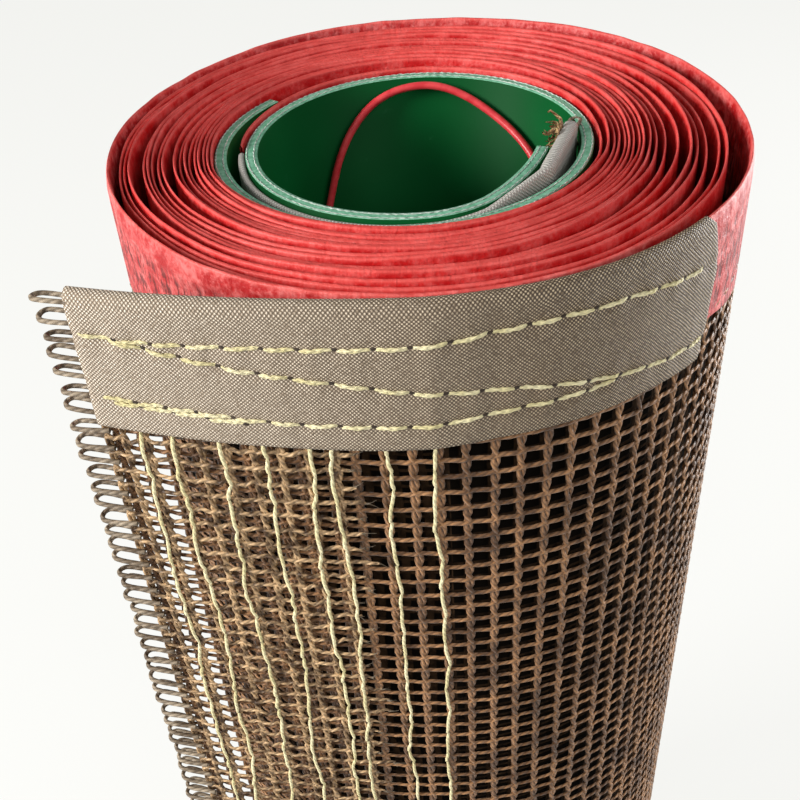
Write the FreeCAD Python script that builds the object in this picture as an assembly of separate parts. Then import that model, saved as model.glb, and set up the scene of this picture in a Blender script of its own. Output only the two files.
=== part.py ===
"""Roll of open-mesh conveyor belt, standing on its end.

Millimetres, +Z up. The origin is on the roll's axis, in the plane that the roll stands on. +X is to the
right of a viewer who faces the belt's loose outer end, and +Y points away from that viewer. Seen from above,
the belt winds inwards counter-clockwise, and angles are counted that way from +X.
"""

import FreeCAD
import Part

import math
import os
from collections import namedtuple

# belt, as it is made
belt_width = 400.0
mesh_thickness = 1.0
edge_tape_height = 22.0
edge_tape_thickness = 1.3
patch_height = 32.0
patch_leaf = 0.35
outer_patch_sweep = 46.0  # degrees of the roll that the outer end's patch covers
doubled_sweep = 4.0  # degrees of the roll that the folded-back mesh covers

# outer end, which stands off the roll
flap_leaves_at = 267.0  # where the belt leaves the roll
flap_radius = 245.0
flap_sweep = 15.0
loop_length = 8.0
loop_thickness = 3.0
pin_channel = 2.3

# winding: where the belt's middle line crosses the X axis on its outermost turn and the one under it
turn_count = 18  # under the outermost one
turns_per_ridge = 3  # neighbouring turns that lie close show as one ridge on the roll's ends
turn_gap_depth = 3.0  # of the groove between ridges
outermost_left = 69.2
outermost_right = 70.2
second_left = 68.2
second_right = 65.4
layer_overlap = 0.02  # by which two layers of mesh sink into each other where they are sewn
tape_start_gap = 0.3  # degrees between the outer patch and the tape

# core sleeve, an offcut of solid belting wound one and a half times
sleeve_wall = 2.7
sleeve_recess = 3.0  # how far its top lies under the belt's edge
sleeve_outer_radius = 41.9  # outer wrap, outside
sleeve_outer_centre = -4.0  # place of that wrap's centre along X
sleeve_tip_sweep = 42.0  # outer wrap beyond the left of the roll
lap_space = 4.1  # between the wraps at the left of the roll, for the belt's inner end
sleeve_lap_radius = 34.4  # inner wrap's bore where it runs under the outer wrap
sleeve_curl_radius = 20.0
sleeve_curl_sweep = 48.0
sleeve_lip_radius = 60.0
sleeve_lip_sweep = 22.0
winding_gap = 0.3  # between the sleeve and the belt

# inner end of the belt, tucked between the sleeve's wraps
nip_gap = 0.1
tail_curl_sweep = 40.0
tail_rise_length = 14.0
tail_kink_radius = 4.0
tail_kink_sweep = 24.0
tail_fold_length = 22.0
tail_fold_thickness = 2.8
straight_radius = 400.0  # stretches that look straight are bent this little

# hinge pin, sprung into the bore
pin_diameter = 2.0
pin_wall_gap = 0.3
pin_bend_share = 0.25  # of a straight run that the bend at each of its ends takes up
pin_route = [
    (7.0, 95.0),
    (14.0, 28.0),
    (54.0, 5.0),
    (101.0, 0.0),
    (140.0, 46.0),
    (143.0, 300.0),
]  # angle round the bore in degrees, depth under the belt's edge

UP = FreeCAD.Vector(0, 0, 1)
HALF_TURN = 180.0

# one arc of a strip's middle line, counter-clockwise from above, angles in degrees
Bend = namedtuple("Bend", "centre radius start end")

# the belt's middle line in stretches: outer is the loose flap and the outermost turn, whose angles run on past
# 360; second and innermost bound the turns under it; tail runs between the sleeve's wraps to the folded end
Belt = namedtuple("Belt", "outer second innermost last_back tail tail_fold")


def heading(angle):
    """Unit vector in the XY plane at an angle in degrees."""
    turned = math.radians(angle)
    return FreeCAD.Vector(math.cos(turned), math.sin(turned), 0)


def bend_after(bend, radius, sweep):
    """The arc that goes on smoothly from a bend's end."""
    centre = bend.centre + heading(bend.end) * (bend.radius - radius)
    return Bend(centre, radius, bend.end, bend.end + sweep)


def bend_before(bend, radius, sweep):
    """The arc that leads smoothly into a bend's start."""
    centre = bend.centre + heading(bend.start) * (bend.radius - radius)
    return Bend(centre, radius, bend.start - sweep, bend.start)


def part_of(bend, start, end):
    return Bend(bend.centre, bend.radius, start, end)


def half_turn(left, right, start):
    """Half a turn between two crossings of the X axis."""
    return Bend(FreeCAD.Vector((right - left) / 2, 0, 0), (left + right) / 2, start, start + HALF_TURN)


def place_on(bend, angle, offset=0.0):
    return bend.centre + heading(angle) * (bend.radius + offset)


def arc_edge(bend, offset):
    circle = Part.Circle(bend.centre, UP, bend.radius + offset)
    return Part.ArcOfCircle(circle, math.radians(bend.start), math.radians(bend.end)).toShape()


def strip(bends, inside, outside, bottom, top):
    """A strip on edge along the bends, from inside to outside of their middle line and from bottom to top."""
    inner_wall = [arc_edge(bend, inside) for bend in bends]
    outer_wall = [arc_edge(bend, outside) for bend in bends]
    first, last = bends[0], bends[-1]
    start = Part.makeLine(place_on(first, first.start, inside), place_on(first, first.start, outside))
    end = Part.makeLine(place_on(last, last.end, inside), place_on(last, last.end, outside))
    outline = Part.Wire(Part.__sortEdges__([start] + outer_wall + [end] + inner_wall))
    outline.translate(UP * bottom)
    return Part.Face(outline).extrude(UP * (top - bottom))


def up_to(bends, angle):
    """What the bends cover before an angle."""
    return [part_of(bend, bend.start, min(bend.end, angle)) for bend in bends if bend.start < angle]


def beyond(bends, angle):
    """What the bends cover after an angle."""
    return [part_of(bend, max(bend.start, angle), bend.end) for bend in bends if bend.end > angle]


def sleeve_bends():
    """Middle line of the core sleeve from its outer end to its inner lip."""
    middle = sleeve_wall / 2
    outer_wrap = Bend(
        FreeCAD.Vector(sleeve_outer_centre, 0, 0),
        sleeve_outer_radius - middle,
        180.0 - sleeve_tip_sweep,
        360.0,
    )
    right_crossing = outer_wrap.radius + sleeve_outer_centre
    left_crossing = outer_wrap.radius - sleeve_outer_centre - sleeve_wall - lap_space
    back = bend_after(outer_wrap, (left_crossing + right_crossing) / 2, 180.0)
    lap = bend_after(back, sleeve_lap_radius + middle, 90.0)
    curl = bend_after(lap, sleeve_curl_radius + middle, sleeve_curl_sweep)
    lip = bend_after(curl, sleeve_lip_radius + middle, sleeve_lip_sweep)
    return [outer_wrap, back, lap, curl, lip]


def belt_bends():
    """Middle line of the wound belt: outer flap, turns from the outside in, and inner tail."""
    sleeve_half = sleeve_wall / 2
    belt_half = edge_tape_thickness / 2
    outer_wrap, _, lap, curl, _ = sleeve_bends()
    beside_sleeve = sleeve_half + winding_gap + belt_half
    inner_left = outer_wrap.radius - outer_wrap.centre.x + beside_sleeve
    inner_right = outer_wrap.radius + outer_wrap.centre.x + beside_sleeve

    contact = part_of(half_turn(outermost_left, outermost_right, 180.0), flap_leaves_at, 360.0)
    flap = bend_before(contact, flap_radius, flap_sweep)
    outermost_back = half_turn(second_left, outermost_right, 360.0)
    second = half_turn(second_left, second_right, 540.0)
    innermost = half_turn(inner_left, inner_right, 180.0)

    beside_lap = sleeve_half + nip_gap + patch_leaf + mesh_thickness / 2
    tail_left = lap.radius - lap.centre.x + beside_lap
    last_back = half_turn(tail_left, inner_right, 0.0)
    tail_lap = bend_after(last_back, lap.radius + beside_lap, 90.0)
    tail_curl = bend_after(tail_lap, curl.radius + beside_lap, tail_curl_sweep)
    rise = bend_after(tail_curl, straight_radius, math.degrees(tail_rise_length / straight_radius))
    kink = bend_after(rise, tail_kink_radius, tail_kink_sweep)
    fold = bend_after(kink, straight_radius, math.degrees(tail_fold_length / straight_radius))
    outer = [flap, contact, outermost_back, second]
    return Belt(outer, second, innermost, last_back, [tail_lap, tail_curl, rise, kink], fold)


def patch_ends_at():
    return flap_leaves_at + outer_patch_sweep


def make_roll_body():
    """The inner turns of the mesh as one turned solid with its bore."""
    belt = belt_bends()
    second, innermost = belt.second, belt.innermost
    height = belt_width - 2 * edge_tape_height
    corners = [
        FreeCAD.Vector(0, 0, edge_tape_height),
        FreeCAD.Vector(second.radius, 0, edge_tape_height),
        FreeCAD.Vector(second.radius, 0, edge_tape_height + height),
        FreeCAD.Vector(0, 0, edge_tape_height + height),
    ]
    section = Part.Face(Part.makePolygon(corners + corners[:1]))
    body = section.revolve(FreeCAD.Vector(0, 0, 0), UP, 360.0)
    body.translate(second.centre)
    bore_radius = innermost.radius - edge_tape_thickness / 2
    bore = Part.makeCylinder(bore_radius, height, innermost.centre + UP * edge_tape_height)
    return body.cut(bore)


def make_outer_turn():
    """The belt's last turn with its loose end, where the mesh is folded back and sewn."""
    belt = belt_bends()
    half = mesh_thickness / 2
    under_patch = up_to(belt.outer, patch_ends_at())
    taped = beyond(belt.outer, patch_ends_at())
    folded_back = up_to(belt.outer, flap_leaves_at + doubled_sweep)
    patch_edge = (patch_leaf, belt_width - patch_leaf)
    tape_edge = (edge_tape_height, belt_width - edge_tape_height)
    return [
        strip(under_patch, -half, half, *patch_edge),
        strip(taped, -half, half, *tape_edge),
        strip(folded_back, half - layer_overlap, half + mesh_thickness, *patch_edge),
    ]


def make_loop_hem():
    """The row of loops along the loose end as one rounded hem with the channel for the hinge pin."""
    flap = belt_bends().outer[0]
    middle = mesh_thickness / 2
    reach = math.degrees((loop_length - loop_thickness / 2) / flap_radius)
    loops = bend_before(flap, flap.radius, reach)
    half = loop_thickness / 2
    hem = strip([loops], middle - half, middle + half, patch_leaf, belt_width - patch_leaf)
    tip = place_on(loops, loops.start, middle) + UP * patch_leaf
    height = belt_width - 2 * patch_leaf
    nose = Part.makeCylinder(half, height, tip)
    channel = Part.makeCylinder(pin_channel / 2, height, tip)
    return hem.fuse(nose).cut(channel)


def make_mesh_belt():
    belt = belt_bends()
    half = mesh_thickness / 2
    tail_taped = strip([belt.last_back], -half, half, edge_tape_height, belt_width - edge_tape_height)
    tail_patched = strip(belt.tail + [belt.tail_fold], -half, half, patch_leaf, belt_width - patch_leaf)
    pieces = make_outer_turn() + [make_loop_hem(), tail_taped, tail_patched]
    return make_roll_body().fuse(pieces).removeSplitter()


def make_edge_tape(edge, inwards):
    """The tape over one long edge: a turned ring with ridges, and the turns that stand free of it."""
    belt = belt_bends()
    half = edge_tape_thickness / 2
    second, innermost = belt.second, belt.innermost
    foot = edge + inwards * edge_tape_height
    valley = edge + inwards * turn_gap_depth
    smallest = innermost.radius + innermost.centre.x - second.centre.x - edge_tape_thickness
    ridge_count = round(turn_count / turns_per_ridge)
    pitch = (second.radius - smallest) / ridge_count
    corners = [FreeCAD.Vector(smallest, 0, foot)]
    for ridge in range(ridge_count):
        radius = smallest + ridge * pitch
        corners.append(FreeCAD.Vector(radius, 0, edge))
        corners.append(FreeCAD.Vector(radius + pitch, 0, valley))
    corners.append(FreeCAD.Vector(second.radius, 0, foot))
    ring = Part.Face(Part.makePolygon(corners + corners[:1])).revolve(FreeCAD.Vector(0, 0, 0), UP, 360.0)
    ring.translate(second.centre)
    low, high = min(edge, foot), max(edge, foot)
    bore = Part.makeCylinder(innermost.radius - half, high - low, innermost.centre + UP * low)
    outer_turn = beyond(belt.outer, patch_ends_at() + tape_start_gap)
    free_turns = [strip(outer_turn, -half, half, low, high), strip([belt.last_back], -half, half, low, high)]
    return ring.cut(bore).fuse(free_turns)


def make_edge_tapes():
    return Part.makeCompound([make_edge_tape(0.0, 1), make_edge_tape(belt_width, -1)])


def folded_patch(zones, edge, inwards):
    """Fabric folded over a long edge. zones holds (bends, inside, outside) of the belt in each stretch."""
    far = edge + inwards * patch_height
    fold = edge + inwards * patch_leaf
    outer = [strip(b, i - patch_leaf, o + patch_leaf, min(edge, far), max(edge, far)) for b, i, o in zones]
    inner = [strip(b, i, o, min(fold, far), max(fold, far)) for b, i, o in zones]
    whole = outer[0].fuse(outer[1:]) if len(outer) > 1 else outer[0]
    return whole.cut(inner)


def outer_patch(edge, inwards):
    belt = belt_bends()
    half = mesh_thickness / 2
    step = flap_leaves_at + doubled_sweep
    doubled = (up_to(belt.outer, step), -half, half + mesh_thickness)
    single = (beyond(up_to(belt.outer, patch_ends_at()), step), -half, half)
    return folded_patch([doubled, single], edge, inwards)


def inner_patch(edge, inwards):
    belt = belt_bends()
    half = mesh_thickness / 2
    single = (belt.tail, -half, half)
    fold_half = tail_fold_thickness / 2 - patch_leaf
    fold = ([belt.tail_fold], -fold_half, fold_half)
    return folded_patch([single, fold], edge, inwards)


def make_core_sleeve():
    middle = sleeve_wall / 2
    return strip(sleeve_bends(), -middle, middle, 0.0, belt_width - sleeve_recess)


def rounded_rod(points, radius, bend_share):
    """A round rod along straight runs, with an arc at each corner that takes a share of its shorter run."""
    lengths = []
    last = points[0]
    for before, corner, after in zip(points, points[1:], points[2:]):
        into = (before - corner).normalize()
        out = (after - corner).normalize()
        cut_back = bend_share * min((before - corner).Length, (after - corner).Length)
        start = corner + into * cut_back
        half_angle = into.getAngle(out) / 2
        centre = corner + (into + out).normalize() * (cut_back / math.cos(half_angle))
        lengths.append(Part.makeCylinder(radius, (start - last).Length, last, start - last))
        section = Part.Face(Part.Wire(Part.Circle(start, into, radius).toShape()))
        lengths.append(section.revolve(centre, out.cross(into), 180.0 - math.degrees(2 * half_angle)))
        last = corner + out * cut_back
    lengths.append(Part.makeCylinder(radius, (points[-1] - last).Length, last, points[-1] - last))
    return lengths[0].fuse(lengths[1:])


def make_hinge_pin():
    bore = sleeve_bends()[1]
    distance = bore.radius - sleeve_wall / 2 - pin_wall_gap - pin_diameter / 2
    top_centre = bore.centre + UP * belt_width
    route = [top_centre + heading(angle) * distance - UP * depth for angle, depth in pin_route]
    return rounded_rod(route, pin_diameter / 2, pin_bend_share)


def export(name, shape):
    solids = Part.makeCompound(shape.Solids)
    solids.exportStep(os.path.join("parts", name + ".step"))
    print(name, len(shape.Solids), "solid(s)", round(shape.Volume / 1000.0, 2), "cm3", shape.isValid())


os.makedirs("parts", exist_ok=True)
export("mesh_belt", make_mesh_belt())
export("edge_tapes", make_edge_tapes())
export("outer_patch_top", outer_patch(belt_width, -1))
export("outer_patch_bottom", outer_patch(0.0, 1))
export("inner_patch_top", inner_patch(belt_width, -1))
export("inner_patch_bottom", inner_patch(0.0, 1))
export("core_sleeve", make_core_sleeve())
export("hinge_pin", make_hinge_pin())
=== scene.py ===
"""Looks of the rolled open-mesh belt: real yarns, wound tapes, sewn patches, core sleeve and stored pin.

Plan lines and sizes below are in millimetres, as in the part's own source, and are turned into metres when a
mesh is made. Distances along the belt count from its loose end (0 just outside the last strand), and depths
from the nearer of its two edges. Materials, lamps and camera are in metres.
"""

import math

import bpy
import numpy as np
from mathutils import Matrix, Vector


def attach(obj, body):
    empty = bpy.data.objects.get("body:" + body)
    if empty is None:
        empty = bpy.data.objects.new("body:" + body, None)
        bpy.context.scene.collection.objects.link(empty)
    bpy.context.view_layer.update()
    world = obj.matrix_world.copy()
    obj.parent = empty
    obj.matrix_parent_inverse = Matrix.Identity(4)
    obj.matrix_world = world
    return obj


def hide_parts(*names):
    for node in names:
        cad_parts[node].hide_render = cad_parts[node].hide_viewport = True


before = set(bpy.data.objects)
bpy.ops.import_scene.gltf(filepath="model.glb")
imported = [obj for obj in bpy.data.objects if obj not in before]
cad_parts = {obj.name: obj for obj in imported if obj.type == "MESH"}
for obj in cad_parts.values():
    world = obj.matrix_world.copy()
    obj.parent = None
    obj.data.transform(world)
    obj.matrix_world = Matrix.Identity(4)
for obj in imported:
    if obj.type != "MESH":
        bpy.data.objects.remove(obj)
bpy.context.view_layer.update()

MM = 0.001
TAU = 2 * math.pi
UP = np.array([0, 0, 1.0])
rng = np.random.default_rng(20)

# belt
WIDTH = 400.0
COLUMN = 5.35
ROW = 4.2
WEAVE_PITCH = 0.0008  # metres
YARN_PLIES = 2.0
TAPE_HEIGHT = 22.0
PATCH_HEIGHT = 32.0
FLAP_LEAVES = 267.0
FLAP_RADIUS = 245.0
FLAP_SWEEP = 15.0
PATCH_END = 126.0
LAYER_GAP = 1.25
FABRIC = 0.3  # thickness of a patch's leaf
FIRST_STRAND = 1.1
OUTER_SHARE = 0.93  # of a turn that the outermost layer of mesh covers

# yarns of the mesh: half widths and half thicknesses, and how far the yarns of a twisted pair swing
STRAND_SIZE = (0.54, 0.42)
PICK_SIZE = (0.62, 0.40)
PAIR_SWING = 0.50
PAIR_RISE = 0.28

# the belt's end, folded back on itself
FOLDED_LENGTH = 49.5  # at the top edge
FOLDED_LEAN = 0.006  # shorter by this share of the distance from the top edge
FOLDED_SHIFT = 3.1  # its rows above those of the layer under it
FOLDED_FROM, FOLDED_TO = 3.5, 48.0
FOLDED_COLUMN = COLUMN * 0.985
LOOP_RADIUS = 1.55
TAIL_LOOP_RADIUS = 1.1

# where the winding crosses the X axis, outermost turn first
RIGHT = [70.2, 65.2, 64.0, 61.5, 59.2, 58.2, 55.2, 53.2, 50.9, 49.7]
RIGHT += [48.4, 47.3, 46.3, 45.3, 44.3, 43.1, 42.0, 40.8, 38.9]
LEFT = [68.6, 66.2, 65.2, 63.6, 61.1, 60.2, 59.1, 58.0, 56.7]
LEFT += [54.7, 53.4, 52.3, 51.4, 50.5, 49.6, 48.7, 47.7, 46.8]
TURNS = len(LEFT)
SAMPLES = 180  # a turn
OVERLAP = 20  # samples that the outermost turn's line runs on under its own start
LEAD = 4  # samples before the outermost turn's end at which the line of the turns inside starts
CONTACT_CENTRE = (0.5, 0)  # of the arc where the loose end comes off the roll
CONTACT_RADIUS = 69.7
FRONT_BULGE = 1.2  # of the outermost turns, past halfway between right and left
BACK_BULGE = 1.7
TURN_SPACE = 0.82  # the least between two turns
CORE_HOLE = 42.25  # radius of the winding's own bore

# core sleeve
SLEEVE_WALL = 2.7
SLEEVE_TOP = 397.0
SLEEVE_RADIUS = 41.9  # outer wrap, outside
SLEEVE_CENTRE = -4.0  # of that wrap, along X
SLEEVE_START = 138.0  # degrees
SLEEVE_STEPS = 420
PLY_PITCH = 1.7  # of the beads on its fabric plies
LAP_SPACE = 4.1
LAP_RADIUS = 34.4
CURL_RADIUS, CURL_SWEEP = 20.0, 48.0
LIP_RADIUS, LIP_SWEEP = 60.0, 22.0

# inner end, from the curl to the fold
NIP_GAP, PATCH_LEAF, HALF_MESH = 0.1, 0.35, 0.5
TAIL_CURL_SWEEP = 40.0
TAIL_RISE, TAIL_FOLD = 14.0, 22.0
KINK_RADIUS, KINK_SWEEP = 4.0, 24.0
STRAIGHT_RADIUS = 400.0  # stretches that look straight are bent this little


def heading(angle):
    turned = math.radians(angle)
    return np.array([math.cos(turned), math.sin(turned)])


class Bend:
    """An arc of a plan line, counter-clockwise from above, angles in degrees."""

    def __init__(self, centre, radius, start, end):
        self.centre, self.radius, self.start, self.end = np.array(centre, float), radius, start, end

    def after(self, radius, sweep):
        centre = self.centre + heading(self.end) * (self.radius - radius)
        return Bend(centre, radius, self.end, self.end + sweep)

    def before(self, radius, sweep):
        centre = self.centre + heading(self.start) * (self.radius - radius)
        return Bend(centre, radius, self.start - sweep, self.start)

    def points(self, step=0.4):
        count = max(3, int(self.radius * math.radians(self.end - self.start) / step))
        angles = np.radians(np.linspace(self.start, self.end, count))
        return self.centre + self.radius * np.stack([np.cos(angles), np.sin(angles)], -1)


def half_turn(left, right, start):
    return Bend(((right - left) / 2, 0), (left + right) / 2, start, start + 180.0)


class Line:
    """A plan line that pieces follow by distance, with offsets along its outward normal."""

    def __init__(self, points):
        keep = np.concatenate([[True], np.hypot(*np.diff(points, axis=0).T) > 1e-6])
        self.p = points[keep]
        self.s = np.concatenate([[0], np.cumsum(np.hypot(*np.diff(self.p, axis=0).T))])
        tangent = np.gradient(self.p, self.s, axis=0)
        tangent /= np.linalg.norm(tangent, axis=1)[:, None]
        self.n = np.stack([tangent[:, 1], -tangent[:, 0]], -1)
        self.length = self.s[-1]

    def normal(self, s):
        n = np.stack([np.interp(s, self.s, self.n[:, 0]), np.interp(s, self.s, self.n[:, 1])], -1)
        return n / np.linalg.norm(n, axis=-1)[..., None]

    def at(self, s, off, z):
        s, off, z = np.broadcast_arrays(np.asarray(s, float), off, z)
        n = self.normal(s)
        clipped = np.clip(s, 0, self.length)
        beyond = (s - clipped)[..., None]
        tangent = np.stack([-n[..., 1], n[..., 0]], -1)
        base = np.stack([np.interp(clipped, self.s, self.p[:, axis]) for axis in (0, 1)], -1)
        flat = base + beyond * tangent + n * off[..., None]
        return np.concatenate([flat, z[..., None]], -1)

    def along(self, s):
        n = self.normal(s)
        return np.concatenate([-n[..., 1:], n[..., :1], np.zeros(n.shape[:-1] + (1,))], -1)


def smooth_noise(count, step, seed):
    """Smooth values from -1 to 1, one a sample, changing over about step samples."""
    own = np.random.default_rng(seed)
    knots = own.uniform(-1, 1, count // step + 4)
    x = np.arange(count) / step
    i = x.astype(int)
    f = x - i
    f = f * f * (3 - 2 * f)
    return knots[i] * (1 - f) + knots[i + 1] * f


def through(values, positions):
    """Catmull-Rom curve through evenly spaced values."""
    v = np.concatenate([[2 * values[0] - values[1]], values, [2 * values[-1] - values[-2]]])
    i = np.clip(positions.astype(int), 0, len(values) - 2)
    f = positions - i
    a, b, c, d = v[i], v[i + 1], v[i + 2], v[i + 3]
    return 0.5 * (2 * b + (c - a) * f + (2 * a - 5 * b + 4 * c - d) * f**2 + (3 * b - a - 3 * c + d) * f**3)


# ---- plan lines ----


def wound_radii():
    """Radius of the winding at each sample, from the loose end's contact inwards, its turns kept apart."""
    quarters = []
    for k in range(TURNS):
        share = 1 - k / TURNS
        front = CONTACT_RADIUS if k == 0 else (LEFT[k - 1] + RIGHT[k]) / 2 + FRONT_BULGE * share
        back = (RIGHT[k] + LEFT[k]) / 2 + BACK_BULGE * share
        quarters += [front, RIGHT[k], back, LEFT[k]]
    quarters += [(LEFT[-1] + RIGHT[-1]) / 2, RIGHT[-1]]
    angles = np.arange(0, TURNS * 360 + 90 + 1e-6, 360 / SAMPLES)
    radii = through(np.array(quarters), angles / 90)
    count = len(radii)
    loose = np.abs(np.cos(np.radians(angles + 270))) ** 1.5
    wave = 0.55 * smooth_noise(count, 17, 3) * (0.25 + 0.75 * loose) + 0.18 * smooth_noise(count, 6, 4)
    wave[: SAMPLES // 2] *= 0.3  # the outermost half turn and the innermost turn lie nearly even
    wave[-SAMPLES:] *= 0.2
    radii = radii + wave
    for i in range(SAMPLES, count):
        radii[i] = min(radii[i], radii[i - SAMPLES] - TURN_SPACE)
    for i in range(count - SAMPLES - 1, -1, -1):
        radii[i] = max(radii[i], radii[i + SAMPLES] + TURN_SPACE)
    kernel = np.array([1, 2, 3, 2, 1]) / 9
    padded = np.concatenate([[radii[0]] * 2, radii, [radii[-1]] * 2])
    return angles + 270.0, np.convolve(padded, kernel, "valid")


def sleeve_bends():
    middle = SLEEVE_WALL / 2
    wrap = Bend((SLEEVE_CENTRE, 0), SLEEVE_RADIUS - middle, SLEEVE_START, 360.0)
    right = wrap.radius + SLEEVE_CENTRE
    left = wrap.radius - SLEEVE_CENTRE - SLEEVE_WALL - LAP_SPACE
    back = wrap.after((left + right) / 2, 180.0)
    lap = back.after(LAP_RADIUS + middle, 90.0)
    curl = lap.after(CURL_RADIUS + middle, CURL_SWEEP)
    lip = curl.after(LIP_RADIUS + middle, LIP_SWEEP)
    return [wrap, back, lap, curl, lip]


def tail_bends():
    _, _, lap, curl, _ = sleeve_bends()
    beside = SLEEVE_WALL / 2 + NIP_GAP + PATCH_LEAF + HALF_MESH
    tail_back = half_turn(lap.radius - lap.centre[0] + beside, RIGHT[-1], 0.0)
    tail_lap = tail_back.after(lap.radius + beside, 90.0)
    tail_curl = tail_lap.after(curl.radius + beside, TAIL_CURL_SWEEP)
    rise = tail_curl.after(STRAIGHT_RADIUS, math.degrees(TAIL_RISE / STRAIGHT_RADIUS))
    kink = rise.after(KINK_RADIUS, KINK_SWEEP)
    fold = kink.after(STRAIGHT_RADIUS, math.degrees(TAIL_FOLD / STRAIGHT_RADIUS))
    return tail_back, [tail_lap, tail_curl, rise, kink, fold]


def joined(bends):
    rows = [bends[0].points()] + [b.points()[1:] for b in bends[1:]]
    return np.vstack(rows)


wound_angle, wound_radius = wound_radii()
wound = wound_radius[:, None] * np.stack([np.cos(np.radians(wound_angle)), np.sin(np.radians(wound_angle))], -1)
contact = Bend(CONTACT_CENTRE, CONTACT_RADIUS, FLAP_LEAVES, 270.0)
flap = contact.before(FLAP_RADIUS, FLAP_SWEEP)

start_shift = wound[0] - contact.points()[-1]
outermost = wound[1 : SAMPLES + OVERLAP]
outermost = outermost - start_shift * np.linspace(1, 0, len(outermost))[:, None]
outer_points = np.vstack([flap.points(), contact.points()[1:], outermost])
outer_line = Line(outer_points)
wound_sample = np.arange(len(outer_points)) - len(outer_points) + SAMPLES + OVERLAP
outer_end = float(np.interp(OUTER_SHARE * SAMPLES, wound_sample, outer_line.s))
tail_back, tail_rest = tail_bends()
inner_points = np.vstack([wound[SAMPLES - LEAD :], tail_back.points()[1:]])
inner_line = Line(inner_points)
tail_line = Line(joined(tail_rest))
sleeve_line = Line(joined(sleeve_bends()))


# ---- mesh making ----

TUBE_STAGGER = 0.0137  # metres by which the marks on a tube are set off from those on the one before


def add_piece(name, verts, quads, uvs, material, slot, smooth=True, replaces=()):
    mesh = bpy.data.meshes.new(name)
    verts = np.ascontiguousarray(verts.reshape(-1, 3) * MM, dtype=np.float32)
    quads = np.ascontiguousarray(quads.reshape(-1, 4), dtype=np.int32)
    mesh.vertices.add(len(verts))
    mesh.vertices.foreach_set("co", verts.ravel())
    mesh.loops.add(quads.size)
    mesh.loops.foreach_set("vertex_index", quads.ravel())
    mesh.polygons.add(len(quads))
    mesh.polygons.foreach_set("loop_start", np.arange(0, quads.size, 4, dtype=np.int32))
    layer = mesh.uv_layers.new(name="UVMap")
    layer.data.foreach_set("uv", np.ascontiguousarray(uvs.reshape(-1, 2), dtype=np.float32).ravel())
    mesh.update(calc_edges=True)
    mesh.polygons.foreach_set("use_smooth", np.full(len(quads), smooth))
    mesh.validate()
    mesh.materials.append(material)
    obj = bpy.data.objects.new(name, mesh)
    bpy.context.scene.collection.objects.link(obj)
    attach(obj, "root")
    if replaces:
        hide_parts(*replaces)
    return obj


def merged(parts):
    verts, quads, uvs, start = [], [], [], 0
    for v, q, uv in parts:
        v = v.reshape(-1, 3)
        verts.append(v)
        quads.append(q.reshape(-1, 4) + start)
        uvs.append(uv.reshape(-1, 4, 2))
        start += len(v)
    return np.vstack(verts), np.vstack(quads), np.vstack(uvs)


def grid(points, u, v):
    """Quads over points[i, j]; u and v are the two coordinates painted on them."""
    rows, cols = points.shape[:2]
    i = np.arange(rows - 1)[:, None]
    j = np.arange(cols - 1)[None, :]
    u, v = np.broadcast_to(u, (rows, cols)), np.broadcast_to(v, (rows, cols))
    corners = [(i, j), (i, j + 1), (i + 1, j + 1), (i + 1, j)]
    quads = np.stack([a * cols + b for a, b in corners], -1)
    uvs = np.stack([np.stack([u[a, b], v[a, b]], -1) for a, b in corners], -2)
    return points, quads, uvs


def tubes(centres, ref, across, along, sides=4, taper=None):
    """Tubes round centres[t, k]. across is the half size towards ref, along the one at right angles to it."""
    tangent = np.gradient(centres, axis=1)
    tangent /= np.linalg.norm(tangent, axis=-1)[..., None] + 1e-12
    ref = np.broadcast_to(ref, centres.shape)
    a = ref - (ref * tangent).sum(-1)[..., None] * tangent
    a /= np.linalg.norm(a, axis=-1)[..., None] + 1e-12
    b = np.cross(tangent, a)
    turn = np.arange(sides) * TAU / sides
    size = np.ones(centres.shape[:2]) if taper is None else np.broadcast_to(taper, centres.shape[:2])
    ring = across * np.cos(turn)[:, None] * a[:, :, None] + along * np.sin(turn)[:, None] * b[:, :, None]
    points = centres[:, :, None] + ring * size[:, :, None, None]
    count, steps = centres.shape[:2]
    t = np.arange(count)[:, None, None]
    k = np.arange(steps - 1)[None, :, None]
    j = np.arange(sides)[None, None, :]
    j1 = (j + 1) % sides

    def index(kk, jj):
        return (t * steps + kk) * sides + jj

    quads = np.stack([index(k, j), index(k, j1), index(k + 1, j1), index(k + 1, j)], -1)
    steps_long = np.linalg.norm(np.diff(centres, axis=1), axis=-1)
    length = np.concatenate([np.zeros((count, 1)), np.cumsum(steps_long, 1)], 1)
    length = length * MM + t[:, :, 0] * TUBE_STAGGER
    around = (j / sides, (j + 1) / sides)
    u0, u1 = (np.broadcast_to(u, quads.shape[:-1]) for u in around)
    v0, v1 = (np.broadcast_to(v[..., None], quads.shape[:-1]) for v in (length[:, :-1], length[:, 1:]))
    uvs = np.stack([np.stack(c, -1) for c in ((u0, v0), (u1, v0), (u1, v1), (u0, v1))], -2)
    return points, quads, uvs


# ---- materials ----


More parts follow.
